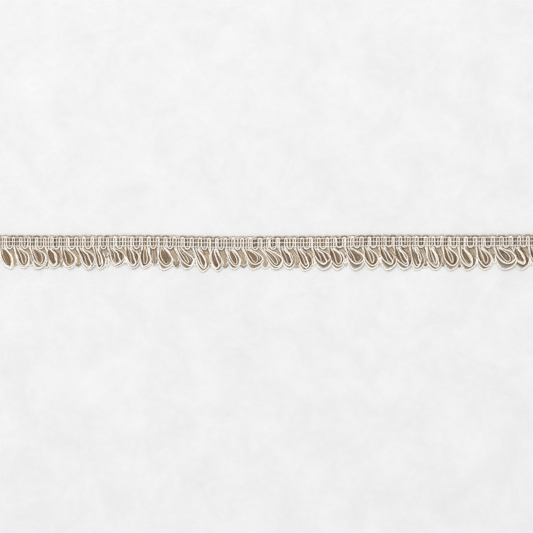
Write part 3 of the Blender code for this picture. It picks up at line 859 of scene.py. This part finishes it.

# %% [markdown]
# Cotton yarn is matt, with a soft sheen at grazing angles. Its colour is painted darker in the groove of
# each ply and lighter on its crest, as painted shade and painted light, and the dye and the twist vary
# along the yarn. Both are read from the yarn's own UV map, whose first coordinate runs along it and whose
# second runs round it once. An image of a yarn would blur at this length, and a noise doesn't. Fine fibres
# are a bump across the plies.

# %% Yarn material
PATCH_LENGTH = 4.0  # of the patches of lighter and darker dye along a yarn
PATCHES_ROUND = 3.0
PATCH_DETAIL = 3.0
FIBRE_LENGTH = 0.25
FIBRES_ROUND = 9.0
FIBRE_DETAIL = 2.0
FIBRE_BUMP = 0.00008  # in metres
BUMP_STRENGTH = 0.35
# painted shade: how much the darker grooves and lighter crests of the plies count in the colour
PAINTED_GROOVE_SHARE = 0.55  # how much the plies count in the shade
PATCH_SHARE = 0.55  # how much the patches do
DARK_SHADE, LIGHT_SHADE = 0.15, 0.85  # the shades at which the two colours are reached
YARN_ROUGHNESS = 0.85
YARN_SPECULAR = 0.25
SHEEN_ROUGHNESS = 0.5


def steps_on_yarn(tree, axes, along, around):
    """A place that goes through so many steps along the whole yarn, and so many round it."""
    place = add_node(tree, "ShaderNodeCombineXYZ")
    tree.links.new(math_node(tree, "MULTIPLY", axes[0], along), place.inputs[0])
    tree.links.new(math_node(tree, "MULTIPLY", axes[1], around), place.inputs[1])
    return place.outputs[0]


def yarn_material(finish, length):
    """Plied cotton with painted shade: its colour runs from dark in the grooves to light on the crests of
    the plies.
    """
    material, tree, shader = matt_material(finish.name, YARN_ROUGHNESS, YARN_SPECULAR)
    shader.inputs["Sheen Weight"].default_value = finish.sheen
    shader.inputs["Sheen Roughness"].default_value = SHEEN_ROUGHNESS
    uv = add_node(tree, "ShaderNodeUVMap", uv_map="UVMap")
    parted = add_node(tree, "ShaderNodeSeparateXYZ")
    tree.links.new(uv.outputs["UV"], parted.inputs[0])
    axes = parted.outputs[0], parted.outputs[1]
    # painted shade: the colour darkens towards the groove between two plies and lightens on their crests
    turn = math_node(tree, "MULTIPLY", axes[1], 2 * math.pi * finish.plies)
    painted_groove_shade = math_node(tree, "MULTIPLY_ADD", math_node(tree, "COSINE", turn), 0.5, 0.5)
    patches_at = steps_on_yarn(tree, axes, length / PATCH_LENGTH, PATCHES_ROUND)
    patches = noise_node(tree, patches_at, 1.0, PATCH_DETAIL)
    from_patches = math_node(tree, "MULTIPLY", patches.outputs["Fac"], PATCH_SHARE)
    shade = math_node(tree, "ADD", math_node(tree, "MULTIPLY", painted_groove_shade, PAINTED_GROOVE_SHARE), from_patches)
    colour = colour_between(tree, shade, DARK_SHADE, LIGHT_SHADE, finish.dark, finish.light)
    tree.links.new(colour, shader.inputs["Base Color"])
    fibres_at = steps_on_yarn(tree, axes, length / FIBRE_LENGTH, FIBRES_ROUND)
    fibres = noise_node(tree, fibres_at, 1.0, FIBRE_DETAIL)
    bump = add_node(tree, "ShaderNodeBump")
    bump.inputs["Strength"].default_value = BUMP_STRENGTH
    bump.inputs["Distance"].default_value = FIBRE_BUMP
    tree.links.new(fibres.outputs["Fac"], bump.inputs["Height"])
    tree.links.new(bump.outputs["Normal"], shader.inputs["Normal"])
    return material


print("patches of dye are", PATCH_LENGTH, "mm long")

# %% [markdown]
# Each kind of yarn has two colours: the light one is painted light on the crests of its plies, and the dark
# one painted shade in their grooves, and the patches of dye run between the same two. They were set and
# judged against the photo's lightest, middle and darkest tones.

# %% The colours of the yarns
# light: painted light on the crests of the plies; dark: painted shade in the grooves; both also give the
# dye patches
Finish = namedtuple("Finish", "name light dark plies sheen")
FINISHES = {
    "white_cord": Finish("off_white_cotton", (0.98, 0.98, 0.965), (0.60, 0.575, 0.53), 3, 0.2),
    "outer_cord": Finish("pale_cotton", (0.97, 0.95, 0.90), (0.58, 0.525, 0.44), 3, 0.2),
    "pale_cord": Finish("ivory_cotton", (0.75, 0.70, 0.59), (0.40, 0.345, 0.26), 3, 0.2),
    "cream_cord": Finish("cream_cotton", (0.91, 0.87, 0.765), (0.46, 0.40, 0.30), 3, 0.2),
    "brown_yarn": Finish("brown_cotton", (0.202, 0.111, 0.056), (0.058, 0.030, 0.015), 2, 0.02),
    "russet_yarn": Finish("russet_cotton", (0.277, 0.158, 0.083), (0.092, 0.049, 0.024), 2, 0.02),
    "tan_yarn": Finish("tan_cotton", (0.385, 0.245, 0.140), (0.150, 0.085, 0.043), 2, 0.05),
    "olive_yarn": Finish("olive_cotton", (0.44, 0.367, 0.249), (0.188, 0.144, 0.091), 2, 0.05),
    "sand_yarn": Finish("sand_cotton", (0.58, 0.475, 0.345), (0.29, 0.225, 0.152), 2, 0.05),
    "fawn_yarn": Finish("fawn_cotton", (0.282, 0.193, 0.119), (0.113, 0.071, 0.041), 2, 0.05),
    "warp_threads": Finish("warp_cotton", (0.96, 0.95, 0.91), (0.67, 0.63, 0.545), 2, 0.2),
}
YARN_LENGTH = 2700.0  # in millimetres; the yarns that hang in the gaps are longer, and so are their patches

materials = {}
for key, finish in FINISHES.items():
    length = LENGTH if key == "warp_threads" else YARN_LENGTH
    materials[key] = yarn_material(finish, length)
for name, piece in list(yarns.items()) + [("warp_threads", warps)]:
    key = next(key for key in FINISHES if name.startswith(key))
    piece.data.materials.clear()
    piece.data.materials.append(materials[key])
print(len(materials), "finishes")

# %% [markdown]
# ## What the pieces stand for
# All yarns lie in both solids of the model, the band and the skirt, so together they replace them. They
# ride on the one body, because a trim has no joints.

# %% Ride and replace
for name, piece in yarns.items():
    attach(piece, "root")
    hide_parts("heading", "loop_skirt")
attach(warps, "root")
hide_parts("heading")

# %% [markdown]
# ## The table and the light
# The trim lies on a plain pale floor, in very soft light from the top of the picture. A single grey would
# look like paper, so the floor's colour has very faint strokes, from a fine noise. A bright even sky and
# one large area lamp give the light. The white cords then stand out a little from the floor, and the trim
# has a soft shadow below it.

# %% The floor
FLOOR_SIZE = 6.0  # in metres
FLOOR_ROUGHNESS = 0.9
FLOOR_SPECULAR = 0.1
STROKE_SCALE = 24.0
STROKE_DETAIL = 12.0
STROKE_ROUGHNESS = 0.85
STROKE_DISTORTION = 0.4
STROKE_LOW, STROKE_HIGH = 0.3, 0.7  # the values of the noise at which the two greys are reached
FLOOR_DARK = (0.575, 0.575, 0.575)
FLOOR_LIGHT = (0.668, 0.668, 0.668)

bpy.ops.object.select_all(action="DESELECT")
bpy.ops.mesh.primitive_plane_add(size=FLOOR_SIZE, location=(0.0, 0.0, 0.0))
floor = bpy.context.active_object
floor.name = "floor"
floor_finish, floor_tree, floor_shader = matt_material("pale_floor", FLOOR_ROUGHNESS, FLOOR_SPECULAR)
place = add_node(floor_tree, "ShaderNodeTexCoord")
strokes = noise_node(floor_tree, place.outputs["Object"], STROKE_SCALE, STROKE_DETAIL)
strokes.inputs["Roughness"].default_value = STROKE_ROUGHNESS
strokes.inputs["Distortion"].default_value = STROKE_DISTORTION
grey = colour_between(
    floor_tree, strokes.outputs["Fac"], STROKE_LOW, STROKE_HIGH, FLOOR_DARK, FLOOR_LIGHT
)
floor_tree.links.new(grey, floor_shader.inputs["Base Color"])
floor.data.materials.append(floor_finish)
print("floor:", FLOOR_SIZE, "m wide")

# %% [markdown]
# An area lamp of 1.5 m gives edges of shadow as soft as a window's. The sky alone would leave no shadow
# at all, and a small lamp a hard one.

# %% The light
SKY_STRENGTH = 1.01
LAMP_PLACE = (-0.6, 1.4, 2.8)
LAMP_SIZE = 1.5
LAMP_POWER = 49.5

world = bpy.data.worlds.new("studio")
bpy.context.scene.world = world
world.use_nodes = True
world.node_tree.nodes["Background"].inputs["Color"].default_value = (1.0, 1.0, 1.0, 1.0)
world.node_tree.nodes["Background"].inputs["Strength"].default_value = SKY_STRENGTH

bpy.ops.object.light_add(type="AREA", location=LAMP_PLACE)
lamp = bpy.context.active_object
lamp.name = "window"
lamp.data.shape = "SQUARE"
lamp.data.size = LAMP_SIZE
lamp.data.energy = LAMP_POWER
lamp.rotation_euler = (Vector((0.0, 0.0, 0.0)) - lamp.location).to_track_quat("-Z", "Y").to_euler()
bpy.context.scene.view_settings.view_transform = "Standard"
print("lamp:", lamp.data.energy, "W")
